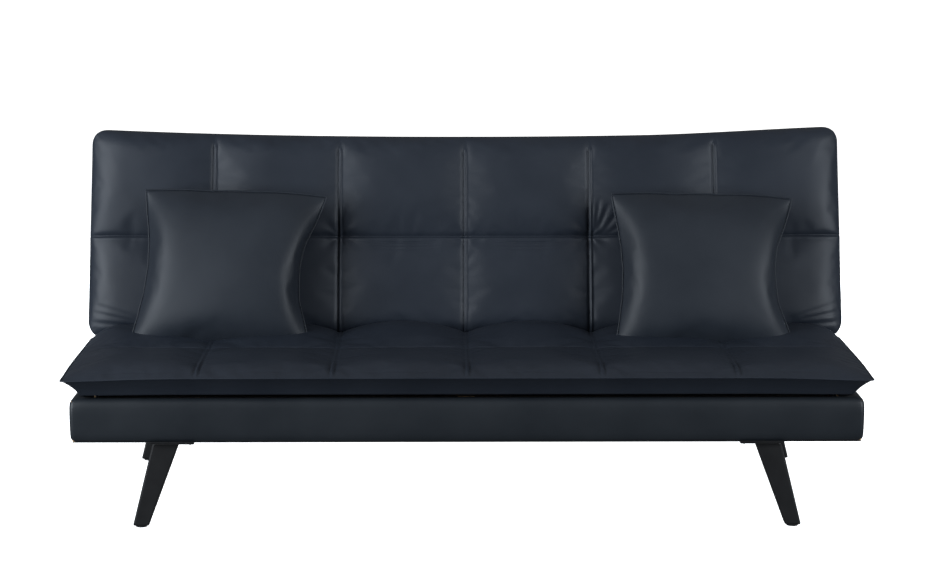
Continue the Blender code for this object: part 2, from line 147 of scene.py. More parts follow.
def round_corners(x, y, bounds, radius):
    """Turn the corners of a rectangular grid into arcs."""
    low_x, high_x, low_y, high_y = bounds
    mid_x, mid_y = (low_x + high_x) / 2, (low_y + high_y) / 2
    over_x = np.clip((np.abs(x - mid_x) - ((high_x - low_x) / 2 - radius)) / radius, 0, 1)
    over_y = np.clip((np.abs(y - mid_y) - ((high_y - low_y) / 2 - radius)) / radius, 0, 1)
    both = (over_x > 0) & (over_y > 0)
    length = np.where(both, np.hypot(over_x, over_y), 1.0)
    pull = np.where(both, np.maximum(over_x, over_y) / length, 1.0)
    new_x = np.where(both, x - np.sign(x - mid_x) * radius * over_x * (1 - pull), x)
    new_y = np.where(both, y - np.sign(y - mid_y) * radius * over_y * (1 - pull), y)
    return new_x, new_y


def padded_mesh(name, lines_x, lines_y, surface, rings, corner, rim_height=0.0):
    """A closed pad in its own frame. surface(x, y) gives its top over a grid, and rings of
    (inset at the ends, inset near, inset far, height) lead from the border round to the underside,
    which is closed flat. The point attribute "cover" keeps each point's place on the flat cover, and
    1 on the top skin, or how far round the rim the point is, from 0 to -1."""
    bm = bmesh.new()
    bmesh.ops.create_grid(bm, x_segments=len(lines_x) - 1, y_segments=len(lines_y) - 1, size=0.5)
    border = [edge for edge in bm.edges if edge.is_boundary]
    for ring in range(1, len(rings) + 1):
        raised = bmesh.ops.extrude_edge_only(bm, edges=border)["geom"]
        for vertex in (item for item in raised if isinstance(item, bmesh.types.BMVert)):
            vertex.co.z = -ring
        border = [item for item in raised if isinstance(item, bmesh.types.BMEdge)]
    bmesh.ops.triangle_fill(bm, edges=border, use_beauty=False)
    bmesh.ops.recalc_face_normals(bm, faces=bm.faces)
    mesh = mesh_of(name, bm)
    points = points_of(mesh)
    across = lines_x[np.rint((points[:, 0] + 0.5) * (len(lines_x) - 1)).astype(int)]
    along = lines_y[np.rint((points[:, 1] + 0.5) * (len(lines_y) - 1)).astype(int)]
    level = np.rint(-points[:, 2]).astype(int)
    bounds = (lines_x[0], lines_x[-1], lines_y[0], lines_y[-1])
    x, y = round_corners(across, along, bounds, corner)
    skin = np.where(level == 0, 1, -level / len(rings))
    cover = mesh.attributes.new("cover", "FLOAT_VECTOR", "POINT")
    cover.data.foreach_set("vector", np.stack([x, y, skin], 1).ravel())
    x, y, z = surface(x, y)
    share = (along - bounds[2]) / (bounds[3] - bounds[2])
    rim = z.copy()
    for ring, (ends, near, far, height) in enumerate(rings, 1):
        here = level == ring
        x[here] *= 1 - ends / bounds[1]
        y[here] += near * (1 - share[here]) - far * share[here]
        z[here] = height + (rim[here] - rim_height) * max(1 - 1.2 * ring / len(rings), 0)
    mesh.vertices.foreach_set("co", np.stack([x, y, z], 1).ravel())
    mesh.update()
    return mesh


def cover_of(mesh):
    """The "cover" attribute of padded_mesh, as three rows."""
    cover = np.empty(len(mesh.vertices) * 3)
    mesh.attributes["cover"].data.foreach_get("vector", cover)
    return cover.reshape(-1, 3).T


COVER_STIFFNESS = 40


def inflate(mesh, pressure, frames, cap, growth=0.0, sewn=None, bending=0.5):
    """Blow the cover up as cloth and keep the result, no point moving further than the cap. growth
    is spare cloth, and sewn marks the points held by stitching."""
    scene = bpy.context.scene
    piece = bpy.data.objects.new("cover_being_filled", mesh)
    scene.collection.objects.link(piece)
    cloth = piece.modifiers.new("cloth", "CLOTH")
    settings = cloth.settings
    settings.quality = 5
    settings.mass = 0.3
    settings.tension_stiffness = settings.compression_stiffness = COVER_STIFFNESS
    settings.shear_stiffness = COVER_STIFFNESS / 2
    settings.bending_stiffness = bending
    settings.air_damping = 2.0
    settings.shrink_min = -growth
    settings.use_pressure = True
    settings.uniform_pressure_force = pressure
    settings.effector_weights.gravity = 0
    cloth.collision_settings.use_collision = False
    if sewn is not None:
        stitched = piece.vertex_groups.new(name="stitched")
        stitched.add(np.flatnonzero(sewn).tolist(), 1.0, "REPLACE")
        settings.vertex_group_mass = "stitched"
    cloth.point_cache.frame_start, cloth.point_cache.frame_end = 1, frames
    scene.frame_end = frames
    for step in range(1, frames + 1):
        scene.frame_set(step)
    before = points_of(mesh)
    after = points_of(piece.evaluated_get(bpy.context.evaluated_depsgraph_get()).data)
    move = after - before
    far = np.linalg.norm(move, axis=1, keepdims=True)
    move *= cap * np.tanh(far / cap) / np.maximum(far, 1e-9)
    bpy.data.objects.remove(piece)
    mesh.vertices.foreach_set("co", (before + move).ravel())
    mesh.update()
    scene.frame_set(1)


def subdivided(mesh):
    """The same mesh after one level of Catmull-Clark subdivision."""
    piece = bpy.data.objects.new("being_subdivided", mesh)
    bpy.context.scene.collection.objects.link(piece)
    smooth = piece.modifiers.new("smooth", "SUBSURF")
    smooth.levels = smooth.render_levels = 1
    finer = bpy.data.meshes.new_from_object(piece.evaluated_get(bpy.context.evaluated_depsgraph_get()))
    name = mesh.name
    bpy.data.objects.remove(piece)
    bpy.data.meshes.remove(mesh)
    finer.name = name
    return finer


def nearest(x, places):
    """Signed distance to the nearest of some places."""
    gaps = np.stack([x - place for place in places])
    pick = np.abs(gaps).argmin(0)
    return np.take_along_axis(gaps, pick[None], 0)[0]


# Materials -------------------------------------------------------------------------------------
def new_group(name, inputs, outputs):
    """An empty node group with its sockets, and its two end nodes."""
    group = bpy.data.node_groups.new(name, "ShaderNodeTree")
    for label, kind, value in inputs:
        socket = group.interface.new_socket(label, in_out="INPUT", socket_type=kind)
        if value is not None:
            socket.default_value = value
    for label, kind in outputs:
        group.interface.new_socket(label, in_out="OUTPUT", socket_type=kind)
    return group, group.nodes.new("NodeGroupInput"), group.nodes.new("NodeGroupOutput")


def wire(tree, source, target):
    tree.links.new(source, target)


def math_node(tree, operation, first, second=None):
    node = tree.nodes.new("ShaderNodeMath")
    node.operation = operation
    for socket, value in zip(node.inputs, (first, second)):
        if value is None:
            continue
        if isinstance(value, (int, float)):
            socket.default_value = value
        else:
            wire(tree, value, socket)
    return node.outputs[0]


def noise_node(tree, vector, scale, detail=3.0, roughness=0.5):
    node = tree.nodes.new("ShaderNodeTexNoise")
    wire(tree, vector, node.inputs["Vector"])
    node.inputs["Scale"].default_value = scale
    node.inputs["Detail"].default_value = detail
    node.inputs["Roughness"].default_value = roughness
    return node.outputs["Fac"]


def leather_grain_group():
    """Pebbled grain with fine pores: a height, and a mask of slow wear."""
    group, start, end = new_group(
        "leather_grain",
        [("Vector", "NodeSocketVector", None), ("Grain Size", "NodeSocketFloat", 700.0)],
        [("Height", "NodeSocketFloat"), ("Wear", "NodeSocketFloat")])
    scaled = group.nodes.new("ShaderNodeVectorMath")
    scaled.operation = "SCALE"
    wire(group, start.outputs["Vector"], scaled.inputs[0])
    wire(group, start.outputs["Grain Size"], scaled.inputs["Scale"])
    cells = group.nodes.new("ShaderNodeTexVoronoi")
    cells.feature = "DISTANCE_TO_EDGE"
    cells.inputs["Scale"].default_value = 1.0
    wire(group, scaled.outputs[0], cells.inputs["Vector"])
    pebble = math_node(group, "MINIMUM", cells.outputs["Distance"], 0.35)
    pores = noise_node(group, scaled.outputs[0], 3.0, 2.0)
    height = math_node(group, "ADD", pebble, math_node(group, "MULTIPLY", pores, 0.25))
    wire(group, height, end.inputs["Height"])
    wire(group, noise_node(group, start.outputs["Vector"], 6.0, 4.0, 0.6), end.inputs["Wear"])
    return group


def new_material(name):
    """A node material, with its tree, its shader and the object coordinates."""
    material = bpy.data.materials.new(name)
    material.use_nodes = True
    tree = material.node_tree
    shader = tree.nodes["Principled BSDF"]
    place = tree.nodes.new("ShaderNodeTexCoord").outputs["Object"]
    return material, tree, shader, place


def colour_between(tree, factor, dark, light):
    mix = tree.nodes.new("ShaderNodeMix")
    mix.data_type = "RGBA"
    wire(tree, factor, mix.inputs["Factor"])
    mix.inputs["A"].default_value = (*dark, 1)
    mix.inputs["B"].default_value = (*light, 1)
    return mix.outputs["Result"]


def spread(tree, factor, low, high, source=(0.3, 0.7)):
    """A value stretched from the source range to low and high."""
    node = tree.nodes.new("ShaderNodeMapRange")
    wire(tree, factor, node.inputs["Value"])
    node.inputs["From Min"].default_value, node.inputs["From Max"].default_value = source
    node.inputs["To Min"].default_value, node.inputs["To Max"].default_value = low, high
    return node.outputs["Result"]


def bump(tree, shader, height, distance, strength=1.0):
    node = tree.nodes.new("ShaderNodeBump")
    node.inputs["Distance"].default_value = distance
    node.inputs["Strength"].default_value = strength
    wire(tree, height, node.inputs["Height"])
    wire(tree, node.outputs["Normal"], shader.inputs["Normal"])


LEATHER_GRAIN = leather_grain_group()


def faux_leather(name, dark, light, rough):
    """Coated leather cloth: grain, slow tone changes and a dull sheen."""
    material, tree, shader, place = new_material(name)
    grain = tree.nodes.new("ShaderNodeGroup")
    grain.node_tree = LEATHER_GRAIN
    wire(tree, place, grain.inputs["Vector"])
    wire(tree, colour_between(tree, spread(tree, grain.outputs["Wear"], 0, 1), dark, light),
         shader.inputs["Base Color"])
    wire(tree, spread(tree, grain.outputs["Wear"], rough[0], rough[1]), shader.inputs["Roughness"])
    bump(tree, shader, grain.outputs["Height"], 0.00025, 0.5)
    shader.inputs["Specular IOR Level"].default_value = 0.22
    return material


def plain_noise_material(name, dark, light, rough, scale, metallic=0.0, depth=0.0001, specular=0.35):
    """Paint, plastic, plating or cloth with an uneven tone and a fine texture."""
    material, tree, shader, place = new_material(name)
    tone = noise_node(tree, place, scale / 12, 4.0, 0.6)
    fine = noise_node(tree, place, scale, 3.0)
    wire(tree, colour_between(tree, spread(tree, tone, 0, 1), dark, light), shader.inputs["Base Color"])
    wire(tree, spread(tree, tone, rough[0], rough[1]), shader.inputs["Roughness"])
    shader.inputs["Metallic"].default_value = metallic
    shader.inputs["Specular IOR Level"].default_value = specular
    bump(tree, shader, fine, depth, 0.6)
    return material


def timber(name, dark, light, stretch):
    """Straight-grained wood: noise stretched along the piece."""
    material, tree, shader, place = new_material(name)
    mapping = tree.nodes.new("ShaderNodeMapping")
    mapping.inputs["Scale"].default_value = stretch
    wire(tree, place, mapping.inputs["Vector"])
    grain = noise_node(tree, mapping.outputs["Vector"], 18.0, 6.0, 0.65)
    wire(tree, colour_between(tree, spread(tree, grain, 0, 1), dark, light), shader.inputs["Base Color"])
    wire(tree, spread(tree, grain, 0.6, 0.8), shader.inputs["Roughness"])
    bump(tree, shader, grain, 0.0004, 0.6)
    return material


PAD_LEATHER = faux_leather(
    "pad_leather", dark=(0.0100, 0.0132, 0.0195), light=(0.0135, 0.0172, 0.0245), rough=(0.42, 0.52))
PILLOW_LEATHER = faux_leather(
    "pillow_leather", dark=(0.0100, 0.0128, 0.0178), light=(0.0135, 0.0168, 0.0225), rough=(0.44, 0.54))
BASE_LEATHER = faux_leather(
    "base_leather", dark=(0.0092, 0.0114, 0.0145), light=(0.0122, 0.0148, 0.0182), rough=(0.38, 0.50))
LEG_PAINT = plain_noise_material(
    "leg_paint", dark=(0.0055, 0.0055, 0.006), light=(0.008, 0.008, 0.0085), rough=(0.50, 0.62), scale=240.0,
    specular=0.2)
GLIDE_PLASTIC = plain_noise_material(
    "glide_plastic", dark=(0.012, 0.012, 0.013), light=(0.02, 0.02, 0.021), rough=(0.45, 0.6), scale=500.0)
LINING_CLOTH = plain_noise_material(
    "lining_cloth", dark=(0.008, 0.008, 0.009), light=(0.016, 0.016, 0.017), rough=(0.85, 0.97), scale=900.0,
    depth=0.0003)
FRAME_TUBE = plain_noise_material(
    "frame_tube", dark=(0.018, 0.018, 0.02), light=(0.03, 0.03, 0.032), rough=(0.38, 0.5), scale=500.0,
    metallic=0.3)
FOLD_STEEL = plain_noise_material(
    "fold_steel", dark=(0.42, 0.43, 0.44), light=(0.60, 0.60, 0.60), rough=(0.25, 0.42), scale=180.0,
    metallic=1.0, depth=0.00005)

# The last values scale the noise along x, y and z: the smallest is the way the grain runs.
RAIL_TIMBER = timber("rail_timber", (0.30, 0.19, 0.10), (0.56, 0.40, 0.24), (1.0, 9.0, 9.0))
# The corner blocks' timber is painted near black: painted shade for the dark gap under the seat, where their
# bare wood would show.
PAINTED_SHADE_BLOCK_TIMBER = timber("block_timber_painted_shade", (0.030, 0.020, 0.013), (0.060, 0.042, 0.028), (1.0, 9.0, 9.0))
SIDE_TIMBER = timber("side_timber", (0.30, 0.19, 0.10), (0.56, 0.40, 0.24), (9.0, 1.0, 9.0))
DECK_PLYWOOD = timber("deck_plywood", (0.42, 0.29, 0.17), (0.66, 0.49, 0.31), (0.8, 7.0, 7.0))

CAD_FINISHES = {
    "leg_": LEG_PAINT, "glide_": GLIDE_PLASTIC, "dust_cover": LINING_CLOTH, "back_rear_panel": LINING_CLOTH,
    "corner_block": PAINTED_SHADE_BLOCK_TIMBER, "base_left_rail": SIDE_TIMBER, "base_right_rail": SIDE_TIMBER,
    "base_centre_rail": SIDE_TIMBER, "base_front_rail": RAIL_TIMBER, "base_rear_rail": RAIL_TIMBER,
}


def finish_cad_nodes():
    """Give every CAD node its finish: steel unless its name says otherwise."""
    for name, node in frame["nodes"].items():
        material = FOLD_STEEL
        if name.endswith("_tube"):
            material = FRAME_TUBE
        if name.endswith("_deck"):
            material = DECK_PLYWOOD
        for start, finish in CAD_FINISHES.items():
            if name.startswith(start):
                material = finish
        node.data.materials.clear()
        node.data.materials.append(material)


# Back pad --------------------------------------------------------------------------------------
BACK_SAG = 0.019              # the top edge dips this much in the middle
BACK_RIM = -0.012             # its border seam lies behind the seam plane

# Where pleats and cross seam are drawn in hard, and the folds that fan out above the right one.
TUFTS = ((-COLUMN, 0.012), (0.0, 0.004), (COLUMN, 0.012), (-2 * COLUMN, 0.005), (2 * COLUMN, 0.005))
BACK_FAN = (((0.318, 0.262), (0.345, 0.330), 0.0030), ((0.330, 0.258), (0.375, 0.318), 0.0030),
            ((0.312, 0.268), (0.322, 0.340), 0.0024), ((0.338, 0.252), (0.395, 0.285), 0.0020))


def back_top(x):
    """How far up the top edge is: it sags in the middle and stands a little fuller on the right."""
    return BACK_RUN - BACK_SAG * (1 - (np.abs(x) / HALF_WIDTH) ** 2.2) + 0.006 * smoothed((x - 0.42) / 0.42)


def back_form(x, y):
    """The back's filled face: six columns in two rows, full at the ends, rolling over at the rim."""
    share = (y - PAD_GAP) / (BACK_RUN - PAD_GAP)
    top = back_top(x)
    y = y + (top - BACK_RUN) * share ** 3
    off_channel = nearest(x, CHANNELS)
    off_cross = y - BACK_CROSS
    edge = (roll(HALF_WIDTH - np.abs(x), 0.085) * roll(top - y, 0.045) * roll(y - PAD_GAP, 0.034))
    puff = rise(off_channel, 0.150, 1.8) * rise(off_cross, 0.130, 1.8)
    face = 0.012 + 0.008 * puff - 0.0020 * ridge(off_channel, 0.010) - 0.003 * ridge(off_cross, 0.008)
    for place, depth in TUFTS:
        face = face - depth * np.exp(-(np.hypot((x - place) * 0.8, off_cross) / 0.034) ** 2)
    tuck = np.clip((0.060 - y) / 0.060, 0, 1)
    face = face - 0.014 * tuck ** 2                          # it rolls away into the crevice
    face = face + 0.0018 * wander(x, y, 0.16, 3.0) + 0.0005 * wander(x, y, 0.04, 7.0)
    z = BACK_RIM + (face - BACK_RIM) * edge
    x = x * (1 + 0.003 + 0.010 * (1 - share))                # the ends bulge, most near the seat
    y = y - PAD_GAP * (1 - smoothed((y - PAD_GAP) / 0.05))   # the filling closes the gap to the seat
    return x, y, z


def back_stitching(x, y):
    """What the sewing does to the face: raised pleats, the cross seam, gathers and creases."""
    off_channel = nearest(x, CHANNELS)
    off_cross = y - BACK_CROSS
    fade = smoothed((back_top(x) - y - 0.016) / 0.012)
    pleat = 0.0034 * ridge(off_channel - 0.0006, 0.0024) - 0.0034 * ridge(off_channel + 0.0050, 0.0022)
    z = pleat * fade
    lip = np.where(off_cross < 0, 0.0016, -0.0006) * ridge(np.abs(off_cross) - 0.0045, 0.004)
    z = z - 0.0040 * ridge(off_cross, 0.0024) + lip
    for place, depth in TUFTS:
        radius = np.hypot(x - place, off_cross)
        turn = np.arctan2(off_cross, x - place)
        z = z + 0.14 * depth * np.cos(9 * turn + 0.7) * (radius / 0.03) * np.exp(-(radius / 0.030) ** 1.5)
    for middle in (-COLUMN / 2, COLUMN / 2):
        for row, depth in ((0.010, 0.0024), (0.017, 0.0022), (0.025, 0.0014)):
            bow = BACK_CROSS - row - 0.006 * (1 - ((x - middle) / 0.13) ** 2)
            z = z - depth * ridge(y - bow, 0.0024) * smoothed(1.25 - np.abs(x - middle) / 0.09)
    for start, end, depth in BACK_FAN:
        z = z + crease(x, y, start, end, 0.0045, depth)
    for side in (-1, 1):
        for height, slope, depth in ((0.050, 0.012, 0.0030), (0.036, 0.004, 0.0032), (0.064, 0.020, 0.0020)):
            start, end = (side * 0.895, height + slope), (side * 0.765, height - slope)
            z = z + crease(x, y, start, end, 0.005, depth)
    return z


def piping(name, path, radius, body, material):
    """A corded welt sewn along a closed seam."""
    data = bpy.data.curves.new(name, "CURVE")
    data.dimensions = "3D"
    data.bevel_depth = radius
    data.bevel_resolution = 2
    spline = data.splines.new("POLY")
    spline.points.add(len(path) - 1)
    spline.points.foreach_set("co", np.column_stack([path, np.ones(len(path))]).ravel())
    spline.use_cyclic_u = True
    loose = bpy.data.objects.new(name, data)
    bpy.context.scene.collection.objects.link(loose)
    mesh = bpy.data.meshes.new_from_object(loose.evaluated_get(bpy.context.evaluated_depsgraph_get()))
    bpy.data.objects.remove(loose)
    mesh.name = name
    add_piece(name, mesh, body, material)


def corner_edge(x, y, low, high, radius):
    """Whether a point lies on one of the rounded corners of the border."""
    over_x = np.abs(x) - (HALF_WIDTH - radius)
    over_y = np.abs(y - (low + high) / 2) - ((high - low) / 2 - radius)
    return (over_x > 0) & (over_y > 0) & (np.hypot(over_x, over_y) > radius - 1e-5)


STITCH_REACH = 0.0021         # points this near a seam are sewn down


def quilted(name, lines_x, lines_y, form, stitching, cross, rings, corner, place, pressure, growth,
            rim_height=0.0):
    """A pad filled between its seams as cloth, subdivided, then stitched, then put in its place.
    Gives the mesh and the path of its border seam."""
    mesh = padded_mesh(name, lines_x, lines_y, form, rings, corner, rim_height)
    x, y, skin = cover_of(mesh)
    edge = (np.abs(x) > HALF_WIDTH - 1e-4) | (y < lines_y[0] + 1e-4) | (y > lines_y[-1] - 1e-4)
    edge |= corner_edge(x, y, lines_y[0], lines_y[-1], corner)
    on_channel = np.abs(nearest(x, CHANNELS)) < STITCH_REACH
    on_cross = np.abs(y - cross) < STITCH_REACH
    sewn = (skin < 0.5) | on_channel | on_cross | edge
    inflate(mesh, pressure, frames=20, cap=0.025, growth=growth, sewn=sewn)
    border = np.flatnonzero(edge & (skin > 0.5))
    turn = np.arctan2(y[border] - (lines_y[0] + lines_y[-1]) / 2, x[border])
    path = points_of(mesh)[border[np.argsort(turn)]]
    mesh = subdivided(mesh)
    x, y, skin = cover_of(mesh)
    points = points_of(mesh)
    points[:, 2] += stitching(x, y) * np.clip(skin, 0, 1)
    mesh.vertices.foreach_set("co", points.ravel())
    mesh.attributes.remove(mesh.attributes["cover"])
    mesh.transform(place)
    mesh.update()
    path = np.array([place @ Vector(point) for point in path])
    return mesh, path


def build_back_pad():
    lines_x = graded(-HALF_WIDTH, HALF_WIDTH, 0.0100, 0.0042, CHANNELS + [-HALF_WIDTH, HALF_WIDTH], 0.016)
    lines_y = graded(PAD_GAP, BACK_RUN, 0.0085, 0.0038, [PAD_GAP, BACK_CROSS - 0.010, BACK_RUN], 0.030)
    rings = [(0.0005, 0.000, 0.0005, -0.020), (0.002, 0.001, 0.002, -0.028), (0.006, 0.004, 0.006, -0.036),
             (0.012, 0.009, 0.012, -0.041), (0.020, 0.014, 0.020, -0.0436), (0.034, 0.018, 0.032, -0.0438),
             (0.0445, 0.0195, 0.0435, -0.0436), (0.0450, 0.0200, 0.0440, -0.030),
             (0.0452, 0.0202, 0.0442, -0.0204)]
    mesh, _ = quilted("back_cushion", lines_x, lines_y, back_form, back_stitching, BACK_CROSS, rings,
                      corner=0.040, place=BACK_PLACE, pressure=1.0, growth=0.006, rim_height=BACK_RIM)
    pad = add_piece("back_cushion", mesh, "back", PAD_LEATHER)
    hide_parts("back_pad")


# Seat pad --------------------------------------------------------------------------------------
SEAT_DEPTH = SEAT_RUN - PAD_GAP
SEAT_PULLS = (((0.895, 0.330), (0.80, 0.345), 0.0022), ((0.89, 0.470), (0.79, 0.450), 0.0026),
              ((0.885, 0.10), (0.83, 0.13), 0.0012))   # creases at both ends: from, to, depth


def seat_form(x, y):
    """The seat's filled top: knife-edged in front and at the ends, with a full roll at the rear."""
    middle_rows = 1 + 0.5 * smoothed((0.46 - np.abs(x)) / 0.1)
    off_channel = nearest(x, CHANNELS)
    off_cross = y - SEAT_CROSS
    edge = rise(y, 0.075, 2.4) * rise(HALF_WIDTH - np.abs(x), 0.085, 2.4) * roll(SEAT_DEPTH - y, 0.034)
    puff = rise(off_channel, 0.150, 1.8)
    rear_row = smoothed((y - SEAT_CROSS) / 0.16)
    rear_fill = rear_row * (0.004 + 0.016 * middle_rows * puff)
    face = 0.015 + 0.003 * puff * rise(off_cross, 0.110, 1.8) + rear_fill
    face = face - 0.0014 * ridge(off_channel, 0.010) - 0.0012 * ridge(off_cross, 0.008)
    for place in CHANNELS:
        face = face - 0.0030 * np.exp(-(np.hypot(x - place, off_cross) / 0.020) ** 2)
    face = face + 0.0012 * wander(x, y, 0.14, 11.0) + 0.0003 * wander(x, y, 0.03, 5.0)
    droop = 0.006 * ridge(HALF_WIDTH - np.abs(x), 0.14) * ridge(y, 0.12)
    return x, y, face * edge - droop


def seat_stitching(x, y):
    """The seat's pleats, raised towards the front seam, its cross seam and short pulls in the cover."""
    off_channel = nearest(x, CHANNELS)
    off_cross = y - SEAT_CROSS
    strong = 0.35 + 0.65 * smoothed((0.16 - y) / 0.08)
    pleat = 0.0038 * ridge(off_channel, 0.0026) - 0.0018 * ridge(np.abs(off_channel) - 0.0062, 0.0024)
    z = pleat * strong * smoothed(y / 0.02) - 0.0016 * ridge(off_cross, 0.0028)
    for place in CHANNELS:
        radius = np.hypot(x - place, off_cross)
        turn = np.arctan2(off_cross, x - place)
        z = z + 0.0006 * np.cos(8 * turn + place * 20) * (radius / 0.03) * np.exp(-(radius / 0.03) ** 1.5)
    for side in (-1, 1):
        for start, end, depth in SEAT_PULLS:
            z = z + crease(x, y, (side * start[0], start[1]), (side * end[0], end[1]), 0.005, depth)
    for middle in [place + COLUMN / 2 for place in [-3 * COLUMN] + CHANNELS]:
        reach = 0.09 + 0.02 * math.sin(middle * 31)
        bow = 0.022 + 0.004 * np.cos((x - middle) * 9)
        z = z - 0.0010 * ridge(y - bow, 0.0035) * smoothed(1.3 - np.abs(x - middle) / reach)
    return z


def build_seat_pad():
    lines_x = graded(-HALF_WIDTH, HALF_WIDTH, 0.0100, 0.0042, CHANNELS + [-HALF_WIDTH, HALF_WIDTH], 0.016)
    lines_y = graded(0.0, SEAT_DEPTH, 0.0085, 0.0042, [0.0, SEAT_CROSS, SEAT_DEPTH], 0.022)
    rings = [(0.0020, 0.0015, 0.000, -0.0016), (0.009, 0.0075, 0.000, -0.007),
             (0.017, 0.0145, 0.001, -0.0145), (0.025, 0.0215, 0.002, -0.0225),
             (0.031, 0.0275, 0.003, -0.0305), (0.036, 0.0325, 0.006, -0.0385),
             (0.0395, 0.0355, 0.010, -0.0438), (0.0440, 0.0385, 0.017, -0.0438),
             (0.0450, 0.0392, 0.0180, -0.030), (0.0452, 0.0394, 0.0182, -0.0050),
             (0.0780, 0.0500, 0.0260, -0.0050), (0.0782, 0.0502, 0.0262, -0.0204)]
    mesh, path = quilted("seat_cushion", lines_x, lines_y, seat_form, seat_stitching, SEAT_CROSS, rings,
                         corner=0.008, place=SEAT_PLACE, pressure=0.9, growth=0.006)
    pad = add_piece("seat_cushion", mesh, "seat", PAD_LEATHER)
    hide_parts("seat_pad")
    piping("seat_piping", path, 0.0016, "seat", PAD_LEATHER)


# Pillows ---------------------------------------------------------------------------------------
PILLOW_WIDTH = 0.440
PILLOW_HEIGHT = 0.400
PILLOW_BOW = 0.070            # the cover is cut fuller in the middle of its top and bottom


def pillow_blank(name, cell):
    """Two skins sewn round their border, with a little air between them."""
    bm = bmesh.new()
    columns, rows = round(PILLOW_WIDTH / cell), round(PILLOW_HEIGHT / cell)
    bmesh.ops.create_grid(bm, x_segments=columns, y_segments=rows, size=0.5)
    for vertex in bm.verts:
        bow = 1 + PILLOW_BOW * (1 - (2 * vertex.co.x) ** 2)
        vertex.co = (vertex.co.x * PILLOW_WIDTH, vertex.co.y * PILLOW_HEIGHT * bow, 0)
    top_verts = bm.verts[:]
    under = bmesh.ops.duplicate(bm, geom=bm.verts[:] + bm.edges[:] + bm.faces[:])["geom"]
    under_verts = [item for item in under if isinstance(item, bmesh.types.BMVert)]
    bmesh.ops.reverse_faces(bm, faces=[item for item in under if isinstance(item, bmesh.types.BMFace)])
    for side, verts in ((1, top_verts), (-1, under_verts)):
        for vertex in verts:
            in_x = 1 - (2 * vertex.co.x / PILLOW_WIDTH) ** 2
            in_y = 1 - (2 * vertex.co.y / PILLOW_HEIGHT / (1 + PILLOW_BOW * in_x)) ** 2
            inside = min(in_x, in_y) > 1e-4
            vertex.co.z = side * 0.024 * math.sqrt(in_x * in_y) if inside else 0.0
    bmesh.ops.remove_doubles(bm, verts=bm.verts, dist=1e-5)
    return mesh_of(name, bm)


def eased(mesh, flat, rounds, share):
    """Ease the sharpest folds out of a filled pillow. Its four corners stay where they are."""
    border = np.abs(flat[:, 2]) < 1e-9
    at_side = np.abs(flat[:, 0]) > 0.499 * PILLOW_WIDTH
    at_end = np.abs(flat[:, 1]) > 0.499 * PILLOW_HEIGHT
    corner = border & at_side & at_end
    links = np.array([edge.vertices[:] for edge in mesh.edges])
    links = np.concatenate([links, links[:, ::-1]])
    links = links[(~border[links[:, 0]]) | border[links[:, 1]]]
    count = np.bincount(links[:, 0], minlength=len(flat))[:, None]
    start = points_of(mesh)
    points = start.copy()
    for _ in range(rounds):
        sums = [np.bincount(links[:, 0], points[links[:, 1], axis], len(flat)) for axis in range(3)]
        total = np.stack(sums, 1)
        moved = points + 0.5 * (total / count - points)
        moved[corner] = start[corner]
        points = moved
    mesh.vertices.foreach_set("co", (start + share * (points - start)).ravel())
    mesh.update()


def build_pillow(label, middle, turn, lean, tip=math.radians(7)):
    """A loose square pillow against the back. middle is its place in the back's frame. It is turned
    in its own plane, leans sideways by lean, and its foot stands further out than its top by tip."""
    mesh = pillow_blank(label + "_cushion", 0.0085)
    flat = points_of(mesh)
    border = np.flatnonzero(np.abs(flat[:, 2]) < 1e-9)
    border = border[np.argsort(np.arctan2(flat[border, 1], flat[border, 0]))]
    inflate(mesh, pressure=5.0, frames=24, cap=0.072, bending=1.2)
    eased(mesh, flat, rounds=40, share=0.80)
    leaning = Matrix.Identity(4)
    leaning[0][1] = lean
    mesh.transform(BACK_PLACE @ Matrix.Translation(middle) @ Matrix.Rotation(turn, 4, "Z")
                   @ Matrix.Rotation(-tip, 4, "X") @ leaning)
    path = points_of(mesh)[border]
    mesh = subdivided(mesh)
    pillow = add_piece(label + "_cushion", mesh, label, PILLOW_LEATHER)
    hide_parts(label)
    piping(label + "_piping", path, 0.0019, label, PILLOW_LEATHER)


